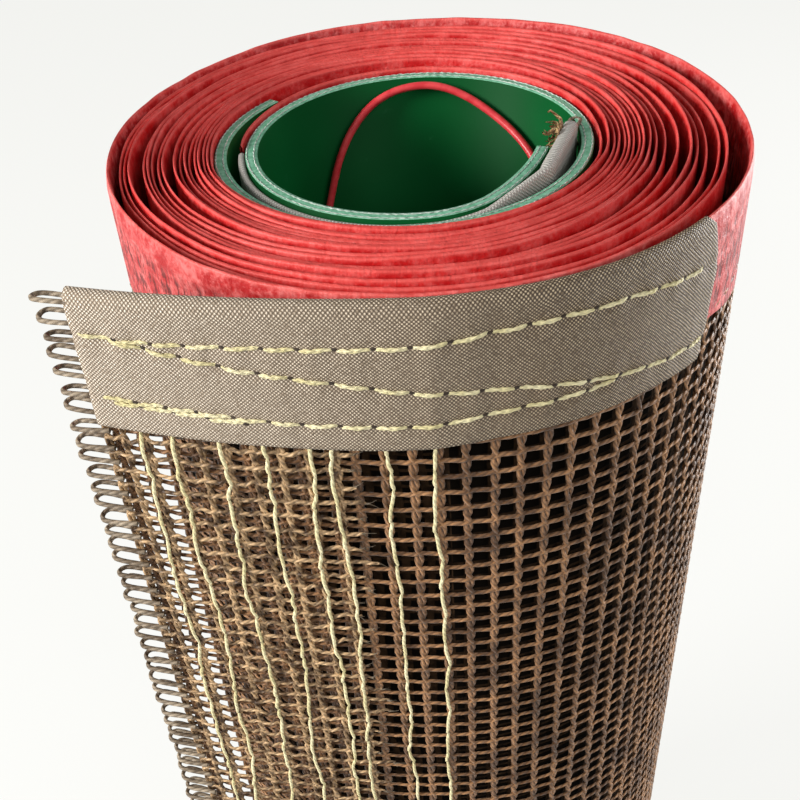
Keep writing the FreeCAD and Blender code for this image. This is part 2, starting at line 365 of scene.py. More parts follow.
class Shader:
    """A small helper for node materials."""

    def __init__(self, name):
        self.material = bpy.data.materials.new(name)
        self.material.use_nodes = True
        self.tree = self.material.node_tree
        self.principled = self.tree.nodes["Principled BSDF"]

    def node(self, kind, **inputs):
        made = self.tree.nodes.new(kind)
        for key, value in inputs.items():
            self.put(made, key, value)
        return made

    def put(self, node, key, value):
        numbered = key[0] == "i" and key[1:].isdigit()
        socket = node.inputs[int(key[1:])] if numbered else node.inputs[key.replace("_", " ")]
        if isinstance(value, bpy.types.NodeSocket):
            self.tree.links.new(value, socket)
        else:
            socket.default_value = value

    def math(self, operation, *values):
        made = self.tree.nodes.new("ShaderNodeMath")
        made.operation = operation
        for k, value in enumerate(values):
            self.put(made, f"i{k}", value)
        return made.outputs[0]

    def mix(self, factor, a, b):
        made = self.tree.nodes.new("ShaderNodeMix")
        made.data_type = "RGBA"
        self.put(made, "i0", factor)
        self.put(made, "i6", a)
        self.put(made, "i7", b)
        return made.outputs[2]

    def ramp(self, value, low, high):
        made = self.tree.nodes.new("ShaderNodeMapRange")
        made.interpolation_type = "SMOOTHSTEP"
        self.put(made, "i0", value)
        self.put(made, "i1", low)
        self.put(made, "i2", high)
        return made.outputs[0]

    def noise(self, vector, scale, detail=2.0, rough=0.5):
        made = self.node("ShaderNodeTexNoise", Scale=scale, Detail=detail, Roughness=rough)
        self.put(made, "Vector", vector)
        return made.outputs[0]

    def uv(self):
        made = self.tree.nodes.new("ShaderNodeTexCoord")
        split = self.tree.nodes.new("ShaderNodeSeparateXYZ")
        self.tree.links.new(made.outputs["UV"], split.inputs[0])
        return made.outputs["UV"], split.outputs[0], split.outputs[1]

    def place(self):
        return self.tree.nodes.new("ShaderNodeTexCoord").outputs["Object"]

    def wave(self, value, pitch):
        """From 0 to 1 and back, once a pitch."""
        turned = self.math("MULTIPLY", value, TAU / pitch)
        return self.math("MULTIPLY_ADD", self.math("COSINE", turned), 0.5, 0.5)

    def finish(self, colour, rough, height=None, distance=0.0002, strength=1.0, **more):
        self.put(self.principled, "Base Color", colour)
        self.put(self.principled, "Roughness", rough)
        for key, value in more.items():
            self.put(self.principled, key, value)
        if height is not None:
            bump = self.node("ShaderNodeBump", Strength=strength, Distance=distance, Height=height)
            self.put(self.principled, "Normal", bump.outputs[0])
        return self.material


def rgb(r, g, b):
    """A colour from its 0 to 255 screen values."""
    linear = [((c / 255 + 0.055) / 1.055) ** 2.4 if c > 10 else c / 255 / 12.92 for c in (r, g, b)]
    return (*linear, 1.0)


def yarn_material(name, light, dark, lay=0.0022, rough=0.5, patches=140.0, groove_shade=0.55, sheen=0.0):
    """Twisted yarn. lay is the length of a twist in metres; the groove argument is how much painted shade lies
    in the grooves between the plies.
    """
    m = Shader(name)
    _, u, v = m.uv()
    slant = m.math("MULTIPLY_ADD", u, YARN_PLIES, m.math("DIVIDE", v, lay))
    ply = m.wave(slant, 1.0)
    grain = m.noise(m.place(), patches, 3.0, 0.6)
    tone = m.mix(m.ramp(grain, 0.32, 0.68), dark, light)
    shade = m.ramp(ply, 0.0, 0.55)
    # painted shade: the grooves between the plies darkened towards a near black of the dark tone
    shaded_groove = m.mix(groove_shade, tone, (dark[0] * 0.35, dark[1] * 0.32, dark[2] * 0.3, 1))
    colour = m.mix(shade, shaded_groove, tone)
    gloss = {"Sheen_Weight": sheen, "Sheen_Roughness": 0.5, "Specular_IOR_Level": 0.32}
    return m.finish(colour, rough, ply, 0.00025, 0.8, **gloss)


def tape_material(name, marks, glare, low, high):
    """Coated red tape. u is the distance along, v the depth; marks is how far the mesh under it shows through,
    in relief and as painted shade in its hollows with painted shadows of its thread marks; the third argument
    is how much pale pink painted glare it takes in patches."""
    m = Shader(name)
    vector, u, v = m.uv()
    strands = m.ramp(m.wave(u, COLUMN * MM), 0.4, 0.9)
    rows = m.ramp(m.wave(v, ROW * MM), 0.5, 1.0)
    lattice = m.math("MAXIMUM", strands, m.math("MULTIPLY", rows, 0.8))
    upright = m.node("ShaderNodeMapping", Vector=vector, Scale=(1.0, 0.26, 1.0))
    streaks = m.noise(upright.outputs[0], 950.0, 3.0, 0.6)
    patches = m.noise(m.place(), 210.0, 4.0, 0.6)
    fine = m.noise(m.place(), 900.0, 3.0, 0.65)
    below = m.ramp(v, 0.0025, 0.009)
    base = m.mix(m.ramp(patches, 0.35, 0.65), low, high)
    # painted glare: pale pink patches laid over the red
    glare_patches = m.ramp(m.math("ADD", patches, m.math("MULTIPLY", fine, 0.7)), 0.7, 1.1)
    glared = m.mix(m.math("MULTIPLY", glare_patches, glare), base, rgb(236, 138, 134))
    # painted shade in the hollows between the mesh's threads pressed through, and dark dashes painted as their
    # shadows
    hollow_shade = m.math("MULTIPLY", m.math("MULTIPLY", m.math("SUBTRACT", 1.0, lattice), below), marks)
    hollow_shaded = m.mix(m.math("MULTIPLY", hollow_shade, m.ramp(streaks, 0.35, 0.6)), glared, rgb(134, 40, 36))
    shadowed_dashes = m.math("MULTIPLY", m.ramp(streaks, 0.52, 0.6), m.math("MULTIPLY", below, marks))
    dash_shaded = m.mix(m.math("MULTIPLY", shadowed_dashes, 0.85), hollow_shaded, rgb(98, 10, 14))
    # painted highlight: the tape's folded top edge made paler, as the light catches it
    lip = m.math("SUBTRACT", 1.0, m.ramp(v, 0.0003, 0.0012))
    colour = m.mix(m.math("MULTIPLY", lip, 0.45), dash_shaded, rgb(236, 104, 96))
    rough = m.math("MULTIPLY_ADD", streaks, 0.9, fine)
    pitted = m.math("MULTIPLY_ADD", shadowed_dashes, -0.9, rough)
    relief = m.math("MULTIPLY_ADD", lattice, 0.5 * marks, pitted)
    return m.finish(colour, 0.5, relief, 0.00035, 0.6, Specular_IOR_Level=0.35)


def patch_material(name, near, far):
    """Plain-woven coated fabric. u runs along the belt and v across it, in metres; near and far are the colours
    of the weave's hollows, threads and crowns, lit at the belt's end and shaded away from it: a painted
    fall-off of the light. The hollows' darker colours are painted shade, the crowns' paler ones painted
    highlights."""
    m = Shader(name)
    _, u, v = m.uv()
    # painted fall-off of the light: lit colours at the loose end, shaded ones away from it
    valley_shade, body, crown_highlight = (m.mix(m.ramp(u, -0.02, 0.105), a, b) for a, b in zip(near, far))
    wander = m.math("MULTIPLY", m.math("SUBTRACT", m.noise(m.place(), 130.0, 2.0, 0.5), 0.5), 0.0007)
    across = m.wave(m.math("ADD", u, wander), WEAVE_PITCH)
    down = m.wave(m.math("ADD", v, wander), WEAVE_PITCH)
    even = m.math("MULTIPLY", across, down)
    odd = m.math("MULTIPLY", m.math("SUBTRACT", 1.0, across), m.math("SUBTRACT", 1.0, down))
    weave = m.math("MAXIMUM", even, odd)
    cloud = m.noise(m.place(), 30.0, 3.0, 0.6)
    grain = m.noise(m.place(), 1100.0, 2.0, 0.6)
    flecks = m.ramp(m.noise(m.place(), 420.0, 4.0, 0.7), 0.66, 0.76)
    # painted shade in the weave's hollows and painted highlight on its crowns
    low = m.mix(m.ramp(weave, 0.2, 0.5), valley_shade, body)
    high = m.mix(m.math("MULTIPLY", m.ramp(weave, 0.5, 0.85), m.ramp(grain, 0.25, 0.6)), low, crown_highlight)
    clouded = m.mix(m.math("MULTIPLY", m.ramp(cloud, 0.35, 0.7), 0.22), high, body)
    colour = m.mix(m.math("MULTIPLY", flecks, 0.4), clouded, crown_highlight)
    return m.finish(colour, 0.5, weave, 0.0003, 0.8, Specular_IOR_Level=0.4)


def sleeve_material():
    m = Shader("green_belting")
    place = m.place()
    soft = m.noise(place, 26.0, 2.0, 0.5)
    fine = m.noise(place, 1400.0, 2.0, 0.5)
    scuff = m.noise(place, 160.0, 4.0, 0.7)
    base = m.mix(m.ramp(soft, 0.3, 0.7), rgb(3, 70, 30), rgb(7, 86, 40))
    worn = m.mix(m.math("MULTIPLY", m.ramp(scuff, 0.62, 0.8), 0.12), base, rgb(70, 140, 100))
    return m.finish(worn, 0.5, fine, 0.00006, 0.35, Specular_IOR_Level=0.05)


def cut_edge_material():
    m = Shader("cut_edge_with_highlight")
    grain = m.noise(m.place(), 700.0, 3.0, 0.6)
    # paler than the belting: partly the cut edge's own colour, partly painted highlight along the rim
    base = m.mix(m.ramp(grain, 0.3, 0.7), rgb(84, 152, 116), rgb(132, 188, 160))
    return m.finish(base, 0.6, grain, 0.0002, 0.6)


def pin_material():
    m = Shader("pin_red")
    tone = m.noise(m.place(), 300.0, 3.0, 0.6)
    base = m.mix(m.ramp(tone, 0.35, 0.65), rgb(196, 44, 52), rgb(214, 66, 70))
    return m.finish(base, 0.35, tone, 0.0001, 0.3)


def shaded_wound_material():
    """The turns under the outermost one, seen through its holes, painted in shade. u is the distance along, v
    the height.
    """
    m = Shader("wound_mesh_in_shade")
    _, u, v = m.uv()
    wander = m.math("MULTIPLY_ADD", m.noise(m.place(), 40.0, 2.0, 0.5), 0.004, u)
    strands = m.ramp(m.wave(wander, COLUMN * MM), 0.68, 0.86)
    rows = m.ramp(m.wave(v, ROW * MM), 0.86, 0.95)
    threads = m.math("MAXIMUM", strands, rows)
    grain = m.noise(m.place(), 600.0, 3.0, 0.6)
    # painted shade: far darker than the outer mesh's yarn, with near-black holes between the threads
    yarn = m.mix(m.ramp(grain, 0.3, 0.7), rgb(28, 19, 12), rgb(58, 42, 28))
    colour = m.mix(threads, rgb(10, 6, 3), yarn)
    return m.finish(colour, 0.9, threads, 0.0006, 0.8, Specular_IOR_Level=0.05)


BROWN = yarn_material("brown_yarn", rgb(172, 126, 84), rgb(90, 60, 34), sheen=0.15)
# the doubled mesh at the loose end: its cream tone paints highlights and its dark tone the flap's shade
ROUGH_BROWN = yarn_material("flap_yarn_highlight_and_shade", rgb(214, 178, 134), rgb(70, 48, 28), patches=330.0)
GREY_BROWN = yarn_material("loop_yarn", rgb(170, 154, 132), rgb(98, 82, 64), rough=0.55)
TUFT = yarn_material("frayed_yarn", rgb(214, 180, 130), rgb(128, 92, 54), patches=500.0)
STITCH = yarn_material(
    "stitch_thread", rgb(240, 230, 188), rgb(214, 202, 150), lay=0.0016, rough=0.6, groove_shade=0.25
)
WHITE_THREAD = yarn_material("pale_thread", rgb(232, 240, 232), rgb(190, 208, 196), lay=0.002, rough=0.7)
OUTER_TAPE = tape_material("red_tape_outer", 1.0, 0.6, rgb(172, 18, 22), rgb(196, 36, 36))
TURN_TAPE = tape_material("red_tape_turns", 0.12, 0.3, rgb(186, 16, 19), rgb(208, 34, 32))
# the weave's colours, lit at the belt's loose end and shaded away from it: a painted fall-off of the light from
# the left
LIT_WEAVE = (rgb(128, 110, 90), rgb(180, 163, 142), rgb(248, 238, 222))
SHADED_WEAVE = (rgb(50, 36, 22), rgb(104, 85, 62), rgb(206, 186, 154))
INNER_WEAVE = (rgb(160, 156, 148), rgb(188, 184, 176), rgb(218, 216, 210))
PATCH = patch_material("patch_weave", LIT_WEAVE, SHADED_WEAVE)
INNER_PATCH = patch_material("inner_patch_weave", INNER_WEAVE, INNER_WEAVE)
SLEEVE = sleeve_material()
CUT_EDGE_WITH_HIGHLIGHT = cut_edge_material()
PIN = pin_material()
SHADED_WOUND = shaded_wound_material()


# ---- open mesh ----


def strand_set(line, stations, bottom, top, lift, seed, per_row=3):
    """Pairs of yarns twisted round each other, running across the belt."""
    own = np.random.default_rng(seed)
    rows = int((top - bottom) / ROW)
    z = np.linspace(bottom, top, rows * per_row + 1)
    count = len(stations)
    drift = own.uniform(-0.22, 0.22, (count, 1))
    sway = 0.16 * np.sin(z[None] / own.uniform(17, 31, (count, 1)) + own.uniform(0, TAU, (count, 1)))
    phase = own.uniform(-0.3, 0.3, (count, 1)) + z[None] * math.pi / ROW
    parts = []
    for side in (0, math.pi):
        swing = np.cos(phase + side)
        s = stations[:, None] + drift + sway + PAIR_SWING * np.sign(swing) * np.abs(swing) ** 0.6
        off = lift + PAIR_RISE * np.sin(phase + side)
        centres = line.at(s, off, z[None])
        parts.append(tubes(centres, line.along(s), *STRAND_SIZE))
    return merged(parts)


def pick_set(line, start, ends, heights, lift, seed, per_column=3, wild=0.0):
    """Single yarns that run along the belt, over and under the strands."""
    own = np.random.default_rng(seed)
    count = len(heights)
    steps = int((np.max(ends) - start) / COLUMN * per_column) + 1
    u = np.linspace(0, 1, steps)
    s = start + (np.asarray(ends)[:, None] - start) * u[None]
    phase = TAU * s / COLUMN
    flip = np.where(np.arange(count) % 2 == 0, 1.0, -1.0)[:, None]
    z = heights[:, None] + 0.13 * np.sin(phase + flip) + own.uniform(-0.16, 0.16, (count, 1))
    z = z + wild * own.normal(0, 0.3, (count, steps))
    off = lift + 0.26 + 0.14 * np.cos(phase + 0.3 * flip) + wild * own.normal(0, 0.2, (count, steps))
    taper = np.where(u[None] > 1 - 0.6 / steps, 0.45, 1.0)
    return tubes(line.at(s, off, z), UP, *PICK_SIZE, taper=taper)


bottom_edge, top_edge = TAPE_HEIGHT - 1.0, WIDTH - TAPE_HEIGHT + 1.0
stations = np.arange(FIRST_STRAND, outer_end, COLUMN)
half = len(stations) // 2
strands_front = strand_set(outer_line, stations[:half], bottom_edge, top_edge, 0.0, 31)
strands_back = strand_set(outer_line, stations[half:], bottom_edge, top_edge, 0.0, 32, per_row=2)
heights = np.arange(bottom_edge + 1.6, top_edge, ROW)
picks = pick_set(outer_line, 0.0, np.full(len(heights), outer_end), heights, 0.0, 33)
add_piece("mesh_strands_front", *strands_front, BROWN, "mesh", replaces=["mesh_belt"])
add_piece("mesh_strands_back", *strands_back, BROWN, "mesh")
add_piece("mesh_picks", *picks, BROWN, "mesh")

folded_heights = heights + FOLDED_SHIFT
folded_ends = FOLDED_LENGTH - FOLDED_LEAN * (WIDTH - heights) + rng.uniform(-2.0, 3.2, len(heights))
folded_stations = np.concatenate([[0.2], np.arange(FOLDED_FROM, FOLDED_TO, FOLDED_COLUMN)])
folded = merged([
    strand_set(outer_line, folded_stations, bottom_edge, top_edge, LAYER_GAP, 34),
    pick_set(outer_line, -0.2, folded_ends, folded_heights, LAYER_GAP, 35, wild=0.8),
])
add_piece("mesh_folded_back", *folded, ROUGH_BROWN, "mesh")


def frayed_ends():
    """Loose filaments at the cut edge of the folded-back mesh."""
    own = np.random.default_rng(8)
    parts = []
    for height, end in zip(folded_heights, folded_ends):
        for _ in range(2):
            u = np.linspace(0, 1, 6)
            reach = own.uniform(0.8, 3.4)
            droop = own.uniform(-2.2, 1.8)
            s = end - 0.6 + reach * u
            z = height + droop * u**1.6 + own.uniform(-0.2, 0.2)
            off = LAYER_GAP + 0.35 + own.uniform(-0.2, 0.5) * u
            taper = np.linspace(1, 0.3, 6)
            parts.append(tubes(outer_line.at(s, off, z)[None], UP, 0.15, 0.15, 3, taper))
    return merged(parts)


add_piece("mesh_frayed_edge", *frayed_ends(), GREY_BROWN, "mesh")


def end_loops():
    """The row of loops: each pick runs out past the last strand, round the pin's channel and back."""
    own = np.random.default_rng(12)
    rows = np.arange(2.6, WIDTH - 1.0, ROW)
    nose = np.radians(np.linspace(90, 270, 9))
    radius = LOOP_RADIUS
    out = np.array([1.4, -1.0, -2.8, -4.6])
    leg = np.full(4, radius) * [0.75, 0.9, 1.0, 1.05]
    parts = []
    for z in rows:
        reach = own.uniform(7.0, 7.9)
        middle = LAYER_GAP / 2 + 0.15 + own.uniform(-0.2, 0.2)
        tilt = own.uniform(-0.35, 0.35)
        rise = own.uniform(-0.7, 0.7)
        s = np.concatenate([out, -reach + radius + radius * np.cos(nose), out[::-1]])
        off = np.concatenate([leg, radius * np.sin(nose), -leg[::-1]])
        height = z + rise * (1.4 - s) / 9 + tilt * off / radius
        parts.append(tubes(outer_line.at(s, middle + off, height)[None], UP, 0.55, 0.52, 6))
    return merged(parts)


add_piece("end_loops", *end_loops(), GREY_BROWN, "mesh")


# ---- wound body under the outermost turn ----


def wound_body():
    """The turns inside, as one form: what shows between the tapes and through the outermost turn's holes."""
    one, two = wound_radius[SAMPLES : 2 * SAMPLES + 1], wound_radius[2 * SAMPLES : 3 * SAMPLES + 1]
    share = np.linspace(0, 1, SAMPLES + 1)
    near = wound_radius[: SAMPLES + 1] - 2.0
    outer = np.maximum(one * share + two * (1 - share) - 0.3, near)
    outer[-1] = outer[0]
    angle = np.radians(270 + np.linspace(0, 360, SAMPLES + 1))
    around = np.stack([np.cos(angle), np.sin(angle)], -1)
    inside = np.stack([SLEEVE_CENTRE + CORE_HOLE * np.cos(angle), CORE_HOLE * np.sin(angle)], -1)
    rim = around * outer[:, None]
    levels = np.linspace(TAPE_HEIGHT - 3, WIDTH - TAPE_HEIGHT + 3, 9)
    shape = (SAMPLES + 1, len(levels))
    plan = np.broadcast_to(rim[:, None], shape + (2,))
    wall = np.concatenate([plan, np.broadcast_to(levels[None, :, None], shape + (1,))], -1)
    length = angle[:, None] * 66.0 * MM
    parts = [grid(wall, length, levels[None] * MM)]
    for level in (levels[0], levels[-1]):
        cap = np.stack([np.concatenate([p, np.full((SAMPLES + 1, 1), level)], -1) for p in (inside, rim)], 1)
        cap = cap if level == levels[-1] else cap[:, ::-1]
        parts.append(grid(cap, length, np.array([[0.0, 0.02]])))
    return merged(parts)


add_piece("wound_mesh_body", *wound_body(), SHADED_WOUND, "mesh")


# ---- edge tapes ----


def ripple(s, depth, size):
    """Height of the mesh pressed through the tape."""
    strand = 0.5 + 0.5 * np.cos(TAU * (s - FIRST_STRAND) / COLUMN)
    row = 0.5 + 0.5 * np.cos(TAU * (depth - 0.8) / ROW)
    lattice = np.maximum(np.clip((strand - 0.35) / 0.5, 0, 1), 0.8 * np.clip((row - 0.45) / 0.5, 0, 1))
    fade = np.clip((depth - 1.2) / 2.0, 0, 1)
    return size * lattice * fade


def wound_tape(upper):
    """Tape on the turns under the outermost one, as one spiral with a thin folded edge."""
    count = int(inner_line.length / 2.7)
    s = np.linspace(0, inner_line.length, count)
    slow = smooth_noise(count, 46, 5 if upper else 6)
    fine = smooth_noise(count, 7, 7 if upper else 8)
    edge = 1.15 - 0.85 * slow - 0.28 * fine
    depth = np.array([TAPE_HEIGHT, 9.0, 3.0, 0.7, 0.0, 0.7, 3.0, 9.0, TAPE_HEIGHT])
    off = np.array([0.33, 0.36, 0.36, 0.24, 0.0, -0.24, -0.36, -0.36, -0.33])
    low = depth[None] + edge[:, None] * np.where(depth > 10, 0, 1)[None]
    z = WIDTH - low if upper else low
    points = inner_line.at(s[:, None], np.broadcast_to(off[None], low.shape), z)
    if upper:
        points = points[:, ::-1]
    return grid(points, s[:, None] * MM, np.broadcast_to(depth[None] * MM, low.shape))


def outer_tape(upper):
    """Tape on the outermost turn, where the mesh shows through on both faces."""
    start, end = PATCH_END - 8.0, outer_line.length - 3.0
    s = np.linspace(start, end, int((end - start) / 1.3))
    down = np.concatenate([np.linspace(TAPE_HEIGHT, 2.2, 26), [1.2, 0.5]])
    depth = np.concatenate([down, [0.0], down[::-1]])
    side = np.concatenate([np.ones(28), [0], -np.ones(28)])
    base = np.interp(depth, [0, 0.5, 1.2, 2.2, 30], [0, 0.27, 0.4, 0.5, 0.55])
    ss, dd = np.meshgrid(s, depth, indexing="ij")
    off = side[None] * (base[None] + ripple(ss, dd, 0.16))
    count = len(s)
    edge = 0.35 + 0.3 * smooth_noise(count, 30, 15) + 0.12 * smooth_noise(count, 4, 16)
    low = dd + edge[:, None] * (dd < 10)
    reach = np.interp(s, [118, 128, 136, 150, 300, 430], [3.2, 3.6, 5.2, 8.0, 5.5, 1.0])
    reach = reach + 0.5 * smooth_noise(count, 9, 17)
    low = low + reach[:, None] * np.clip((dd - 12) / (TAPE_HEIGHT - 12), 0, 1)
    z = WIDTH - low if upper else low
    points = outer_line.at(ss, off, z)
    if upper:
        points = points[:, ::-1]
    return grid(points, ss * MM, dd * MM)


add_piece("edge_tape_turns_top", *wound_tape(True), TURN_TAPE, "edge_tape", replaces=["edge_tapes"])
add_piece("edge_tape_turns_bottom", *wound_tape(False), TURN_TAPE, "edge_tape")
add_piece("edge_tape_outer_top", *outer_tape(True), OUTER_TAPE, "edge_tape")
add_piece("edge_tape_outer_bottom", *outer_tape(False), OUTER_TAPE, "edge_tape")


# ---- end patches ----

PATCH_START = -0.4
PATCH_BACK = -0.85  # of the inner leaf, from the belt's middle line
PATCH_FOLD_STEPS = 11

# stitch lines on the outer patch: distance from the loose end, depth under the edge
SEAM_UPPER = [(0.5, 9.0), (12, 9.8), (47, 9.6), (63, 9.2), (76, 8.3)]
SEAM_UPPER += [(90, 8.0), (104, 8.4), (118, 10.2), (126.5, 11.2)]
SEAM_MIDDLE = [(6, 9.8), (19, 12.3), (30, 14.6), (49, 17.3), (62, 19.6)]
SEAM_MIDDLE += [(80, 21.4), (98, 24.4), (113, 27.1), (126, 28.9)]
SEAM_LOWER = [(2, 23.2), (17, 24.7), (32, 26.1), (62, 27.2), (78, 26.4), (99, 25.8)]
SEAM_REPEAT = [(4, 24.3), (17, 25.4), (30, 26.9)]


def seam_depth(seam, s):
    knots = np.array(seam)
    return np.interp(s, knots[:, 0], knots[:, 1])


def patch_lift(s, depth):
    """How far the outer leaf stands off the mesh, drawn in along each seam."""
    base = np.interp(s, [-5, 64, 76, 200], [LAYER_GAP + 1.2, LAYER_GAP + 1.2, 1.0, 1.0])
    lift = np.zeros(np.broadcast(s, depth).shape)
    for seam in (SEAM_UPPER, SEAM_MIDDLE, SEAM_LOWER):
        knots = np.array(seam)
        within = (s > knots[0, 0] - 2) & (s < knots[-1, 0] + 2)
        away = np.abs(depth - seam_depth(seam, s))
        pull = np.exp(-((away / 1.1) ** 2))
        pucker = 0.16 * np.sin(TAU * s / 7.0) * np.exp(-((away / 3.0) ** 2))
        lift = lift - within * (0.32 * pull - pucker)
    swell = 0.22 * np.sin(s / 9.0 + 1.3 * np.sin(depth / 7.0)) * np.sin(depth / 5.5)
    return base + lift + swell


def outer_patch(upper):
    """Fabric folded over the belt's edge at its loose end."""

    def stations_at(depth):
        """From the loose end to the patch's own end, which bows out."""
        end = np.interp(depth, [0, 2, 11, 24, 30, 34], [122.6, 124.9, 127.8, 127.5, 126.0, 124.6])
        return PATCH_START + (end - PATCH_START) * u[:, None]

    u = np.linspace(0, 1, 112)
    foot = np.interp(u, [0, 0.2, 0.45, 0.85, 1], [30.2, 31.6, 32.3, 31.8, 33.2])
    front = foot[:, None] * np.linspace(1, 0.097, 40)[None]
    s_front = stations_at(front)
    off_front = patch_lift(s_front, front)
    half_width = (off_front[:, -1:] - PATCH_BACK) / 2
    turned = np.radians(np.linspace(90, -90, PATCH_FOLD_STEPS))[None]
    off_top = PATCH_BACK + half_width + half_width * np.sin(turned)
    low_top = 2.75 - 2.6 * np.cos(turned)
    back = front[:, ::-1]
    s_all = np.concatenate([s_front, stations_at(low_top), s_front[:, ::-1]], 1)
    off_all = np.concatenate([off_front, off_top, np.full(back.shape, PATCH_BACK)], 1)
    fold_shape = (len(u), PATCH_FOLD_STEPS)
    low_all = np.concatenate([front, np.broadcast_to(low_top, fold_shape), back], 1)
    z = WIDTH - low_all if upper else low_all
    points = outer_line.at(s_all, off_all, z)
    over = np.broadcast_to(np.linspace(-2.8, 3.4, PATCH_FOLD_STEPS)[None], fold_shape)
    path = np.concatenate([-front, over, back + 0.6], 1)
    if upper:
        points = points[:, ::-1]
        path, s_all = path[:, ::-1], s_all[:, ::-1]
    return grid(points, s_all * MM, path * MM)


def thicken(obj, thickness):
    solid = obj.modifiers.new("thickness", "SOLIDIFY")
    solid.thickness = thickness * MM
    solid.offset = 0


def stitch_stations(first, last, pitch, seed):
    """Where each stitch of a row starts, and where the last one ends."""
    own = np.random.default_rng(seed)
    steps = pitch * own.uniform(0.88, 1.12, int(2 * (last - first) / pitch))
    stations = first + np.concatenate([[0], np.cumsum(steps)])
    return stations[stations < last + 0.3 * pitch]


def stitch_run(line, seam, stations, lift, seed, radius=0.33, upper=True):
    """A row of thread stitches, each of two plies, that dive into the fabric at each hole."""
    own = np.random.default_rng(seed)
    parts = []
    for start, end in zip(stations[:-1], stations[1:]):
        u = np.linspace(0, 1, 13)
        tilt = own.uniform(-0.24, 0.24)
        bow = 0.45 * np.sin(math.pi * u) ** 0.6
        taper = np.interp(u, [0, 0.1, 0.9, 1], [0.6, 1, 1, 0.6])
        turn = own.uniform(0, TAU)
        for side in (0, math.pi):
            twist = TAU * 1.3 * u + turn + side
            ss = start + 0.1 + (end - start - 0.35) * u
            depth = seam_depth(seam, ss) + tilt * (u - 0.5) * 2 - 0.3 * u + 0.17 * np.sin(twist)
            rise = lift(ss, depth) + bow - 0.12 + 0.12 * np.cos(twist)
            z = WIDTH - depth if upper else depth
            parts.append(tubes(line.at(ss, rise, z)[None], UP, radius, radius * 0.85, 5, taper))
    return parts


def seam_holes(line, seam, stations, lift, upper=True):
    """Needle holes between the stitches, as small dark pieces: painted shade of the holes."""
    parts = []
    for station in stations[1:]:
        u = np.linspace(-1, 1, 5)
        ss = station - 0.1 + 0.62 * u
        depth = seam_depth(seam, ss) - 0.3 + 0 * u
        z = WIDTH - depth if upper else depth
        taper = np.sqrt(np.clip(1 - u**2, 0.05, 1))
        parts.append(tubes(line.at(ss, lift(ss, depth) + 0.2, z)[None], UP, 0.42, 0.16, 6, taper))
    return parts


def needle_hole_shade_material():
    # painted shade: dark pieces stand in for the shade inside the needle holes
    m = Shader("needle_hole_shade")
    grain = m.noise(m.place(), 800.0, 2.0, 0.5)
    return m.finish(m.mix(grain, rgb(24, 16, 10), rgb(62, 46, 30)), 0.8, grain, 0.0001, 0.4)


NEEDLE_HOLE_SHADE = needle_hole_shade_material()

for upper, side in ((True, "top"), (False, "bottom")):
    patch = add_piece("outer_patch_" + side, *outer_patch(upper), PATCH, "patch_fabric")
    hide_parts("outer_patch_" + side)
    thicken(patch, FABRIC)
    runs, holes = [], []
    for seam, seed in ((SEAM_UPPER, 41), (SEAM_MIDDLE, 42), (SEAM_LOWER, 43), (SEAM_REPEAT, 44)):
        stitches = stitch_stations(seam[0][0], seam[-1][0], 6.6, seed)
        runs += stitch_run(outer_line, seam, stitches, patch_lift, seed, upper=upper)
        holes += seam_holes(outer_line, seam, stitches, patch_lift, upper=upper)
    add_piece("patch_stitches_" + side, *merged(runs), STITCH, "patch_fabric")
    add_piece("patch_needle_hole_shade_" + side, *merged(holes), NEEDLE_HOLE_SHADE, "patch_fabric")


# ---- stitch lines down the doubled mesh ----

SEAM_STATIONS = [7.8, 14.4, 23.4, 32.2, 41.1, 45.5, 55.5, 65.0]


def down_seams():
    own = np.random.default_rng(51)
    parts = []
    for station in SEAM_STATIONS:
        lift = LAYER_GAP + 0.75 if station < 50 else 0.85
        z = WIDTH - PATCH_HEIGHT + 1.0
        drift = 0.0
        while z > PATCH_HEIGHT - 1.0:
            length = ROW * own.choice([1.0, 2.0], p=[0.45, 0.55]) * own.uniform(0.9, 1.1)
            u = np.linspace(0, 1, 7)
            step = own.uniform(-0.9, 0.9) - 0.45 * drift
            s = station + drift + step * u + 0.12 * np.sin(TAU * u + own.uniform(0, 3))
            zz = z - length * u
            off = lift + 0.30 * np.sin(math.pi * u) ** 0.7 - 0.15
            taper = np.interp(u, [0, 0.15, 0.85, 1], [0.65, 1, 1, 0.65])
            centres = outer_line.at(s, off, zz)[None]
            parts.append(tubes(centres, outer_line.along(s)[None], 0.42, 0.34, 5, taper))
            drift += step * own.uniform(0.6, 1.0)
            z -= length
    return merged(parts)


add_piece("mesh_stitch_lines", *down_seams(), STITCH, "mesh")


# ---- core sleeve ----


def sleeve():
    """The wall, five faces a step with its cut edge in the middle three, and the two ends."""
    half_wall = SLEEVE_WALL / 2
    flat, shoulder = half_wall - 0.2, SLEEVE_TOP - 0.15
    s = np.linspace(0, sleeve_line.length, SLEEVE_STEPS)
    off = np.array([-half_wall, -half_wall, -flat, flat, half_wall, half_wall])
    z = np.array([0.0, shoulder, SLEEVE_TOP, SLEEVE_TOP, shoulder, 0.0])
    points = sleeve_line.at(s[:, None], off[None], z[None])
    body = grid(points, s[:, None] * MM, z[None] * MM)
    ends = []
    for station, flip in ((0.0, False), (sleeve_line.length, True)):
        corners_off = np.array([[-half_wall, half_wall]] * 2)
        corners_z = np.array([[0.0, 0.0], [SLEEVE_TOP, SLEEVE_TOP]])
        face = sleeve_line.at(np.full((2, 2), station), corners_off, corners_z)
        face = face[:, ::-1] if flip else face
        ends.append(grid(face, np.zeros((2, 2)), np.zeros((2, 2))))
    return body, merged(ends)


